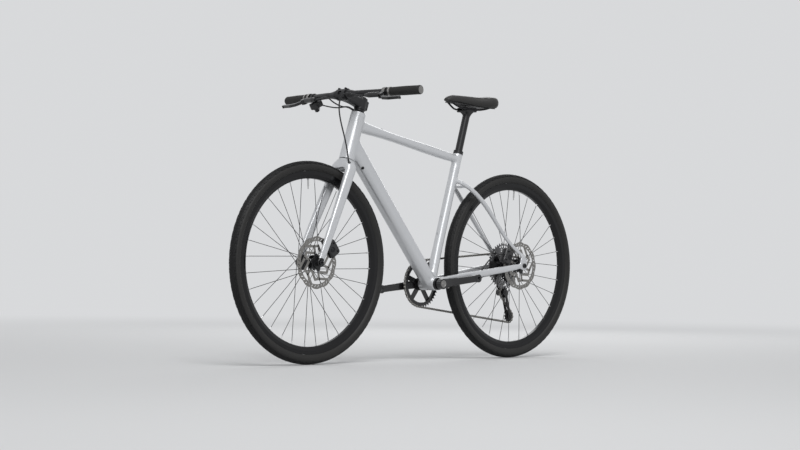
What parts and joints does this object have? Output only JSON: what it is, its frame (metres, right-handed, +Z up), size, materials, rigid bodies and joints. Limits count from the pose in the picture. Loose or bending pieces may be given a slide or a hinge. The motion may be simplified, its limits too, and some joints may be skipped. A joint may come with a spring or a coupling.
{
  "type": "hybrid bike",
  "caption": "Flat-bar hybrid bicycle with disc brakes, a single chainring, wide tyres, steering fork, spinning wheels, pull-in brake levers and a sliding seatpost.",
  "frame": {"origin": "on the ground, midway between the two wheel axles, in the bike's middle plane", "axes": "+X forward, +Y to the rider's left, +Z up"},
  "size_m": [1.7168, 0.6814, 0.9746],
  "materials": {
    "frame_paint": "satin metallic silver white",
    "black_alloy": "satin black anodised",
    "black_steel": "black",
    "tyre": "matte black rubber",
    "rim_black": "satin black",
    "rubber": "matte black",
    "rotor_steel": "bright steel",
    "chain_steel": "silver",
    "black_plastic": "matte black",
    "cog_steel": "dull silver",
    "saddle_skin": "matte black synthetic",
    "pad_steel": "dark",
    "alloy": "silver"
  },
  "bodies": {
    "frame": {"head_tube": "frame_paint", "top_tube": "frame_paint", "down_tube": "frame_paint", "seat_tube": "frame_paint", "bottom_bracket_shell": "frame_paint", "chainstays": "frame_paint", "seatstays": "frame_paint", "rear_dropouts": "frame_paint", "derailleur_hanger": "frame_paint", "seat_clamp": "black_alloy", "threaded_bosses": "alloy", "rear_axle": "black_alloy", "frame_bearings": "black_alloy", "rear_caliper": "black_alloy", "rear_cables": "rubber", "chain": "chain_steel", "derailleur_body": "black_alloy"},
    "steering": {"fork_crown": "frame_paint", "fork_blades": "frame_paint", "front_axle": "black_alloy", "headset_cover": "black_alloy", "stem": "black_alloy", "stem_faceplate": "black_alloy", "stem_bolts": "black_steel", "handlebar": "black_alloy", "grips": "rubber", "lever_housings": "black_alloy", "shifter_housing": "black_plastic", "control_hoses": "rubber", "front_caliper": "black_alloy"},
    "left_lever": {"left_brake_lever": "black_alloy"},
    "right_lever": {"right_brake_lever": "black_alloy"},
    "downshift": {"downshift_lever": "black_plastic"},
    "upshift": {"upshift_lever": "black_plastic"},
    "front_pad_outer": {"front_outer_pad": "pad_steel"},
    "front_pad_inner": {"front_inner_pad": "pad_steel"},
    "rear_pad_outer": {"rear_outer_pad": "pad_steel"},
    "rear_pad_inner": {"rear_inner_pad": "pad_steel"},
    "front_wheel": {"front_tyre": "tyre", "front_rim": "rim_black", "front_spokes": "black_steel", "front_hub": "black_alloy", "front_rotor": "rotor_steel"},
    "rear_wheel": {"rear_tyre": "tyre", "rear_rim": "rim_black", "rear_spokes": "black_steel", "rear_hub": "black_alloy", "rear_rotor": "rotor_steel"},
    "cassette_cluster": {"cassette": "cog_steel"},
    "crank": {"left_crank_arm": "black_alloy", "right_crank_arm": "black_alloy", "chainring": "black_alloy"},
    "cage": {"derailleur_cage": "black_alloy"},
    "guide_wheel": {"guide_pulley": "black_plastic"},
    "tension_wheel": {"tension_pulley": "black_plastic"},
    "seat": {"seatpost": "black_alloy", "saddle_clamp": "black_alloy", "saddle_rails": "black_steel", "saddle_base": "black_plastic", "saddle_cover": "saddle_skin"}
  },
  "joints": [
    {"name": "steering_turn", "type": "hinge", "parent": "frame", "child": "steering", "pos_m": [0.3415, 0, 0.70631], "axis": [-0.309, 0, 0.9511], "range_deg": [-65, 65]},
    {"name": "front_wheel_spin", "type": "hinge", "parent": "steering", "child": "front_wheel", "pos_m": [0.5105, 0, 0.348], "axis": [0, 1, 0], "continuous": true},
    {"name": "rear_wheel_spin", "type": "hinge", "parent": "frame", "child": "rear_wheel", "pos_m": [-0.5105, 0, 0.348], "axis": [0, 1, 0], "continuous": true},
    {"name": "crank_spin", "type": "hinge", "parent": "frame", "child": "crank", "pos_m": [-0.08016, 0, 0.278], "axis": [0, 1, 0], "continuous": true, "deforming": ["chain"]},
    {"name": "cassette_spin", "type": "hinge", "parent": "frame", "child": "cassette_cluster", "pos_m": [-0.5105, 0, 0.348], "axis": [0, 1, 0], "continuous": true},
    {"name": "cage_swing", "type": "hinge", "parent": "frame", "child": "cage", "pos_m": [-0.5315, -0.0435, 0.246], "axis": [0, 1, 0], "range_deg": [-20, 20], "stiffness_Nm_per_rad": 2},
    {"name": "guide_pulley_spin", "type": "hinge", "parent": "cage", "child": "guide_wheel", "pos_m": [-0.5315, -0.0435, 0.246], "axis": [0, 1, 0], "continuous": true},
    {"name": "tension_pulley_spin", "type": "hinge", "parent": "cage", "child": "tension_wheel", "pos_m": [-0.55782, -0.0435, 0.15472], "axis": [0, 1, 0], "continuous": true},
    {"name": "left_lever_pull", "type": "hinge", "parent": "steering", "child": "left_lever", "pos_m": [0.36869, 0.20083, 0.91925], "axis": [0.4637, 0.0734, 0.8829], "range_deg": [0, 16], "stiffness_Nm_per_rad": 2, "springref_deg": -8.59},
    {"name": "right_lever_pull", "type": "hinge", "parent": "steering", "child": "right_lever", "pos_m": [0.36869, -0.20083, 0.91925], "axis": [-0.4637, 0.0734, -0.8829], "range_deg": [0, 16], "stiffness_Nm_per_rad": 2, "springref_deg": -8.59},
    {"name": "downshift_push", "type": "hinge", "parent": "steering", "child": "downshift", "pos_m": [0.34014, -0.15986, 0.89462], "axis": [0.4637, -0.0734, 0.8829], "range_deg": [0, 25], "stiffness_Nm_per_rad": 0.8, "springref_deg": -11.46},
    {"name": "upshift_push", "type": "hinge", "parent": "steering", "child": "upshift", "pos_m": [0.34014, -0.15986, 0.89462], "axis": [0.4637, -0.0734, 0.8829], "range_deg": [0, 20], "stiffness_Nm_per_rad": 0.8, "springref_deg": -11.46},
    {"name": "front_outer_pad_close", "type": "slide", "parent": "steering", "child": "front_pad_outer", "axis": [0, -1, 0], "range_m": [0, 0.0004]},
    {"name": "front_inner_pad_close", "type": "slide", "parent": "steering", "child": "front_pad_inner", "axis": [0, 1, 0], "range_m": [0, 0.0004]},
    {"name": "rear_outer_pad_close", "type": "slide", "parent": "frame", "child": "rear_pad_outer", "axis": [0, -1, 0], "range_m": [0, 0.0004]},
    {"name": "rear_inner_pad_close", "type": "slide", "parent": "frame", "child": "rear_pad_inner", "axis": [0, 1, 0], "range_m": [0, 0.0004]},
    {"name": "seatpost_slide", "type": "slide", "parent": "frame", "child": "seat", "axis": [-0.284, 0, 0.9588], "range_m": [-0.08, 0.04]}
  ],
  "couplings": [
    {"joint": "cassette_spin", "follows": "crank_spin", "ratio": 1.75},
    {"joint": "guide_pulley_spin", "follows": "crank_spin", "ratio": -3.8182},
    {"joint": "tension_pulley_spin", "follows": "crank_spin", "ratio": 3.8182},
    {"joint": "left_lever_pull", "follows": "front_outer_pad_close", "rad_per_m": 698},
    {"joint": "front_inner_pad_close", "follows": "front_outer_pad_close", "ratio": 1},
    {"joint": "right_lever_pull", "follows": "rear_outer_pad_close", "rad_per_m": 698},
    {"joint": "rear_inner_pad_close", "follows": "rear_outer_pad_close", "ratio": 1}
  ]
}
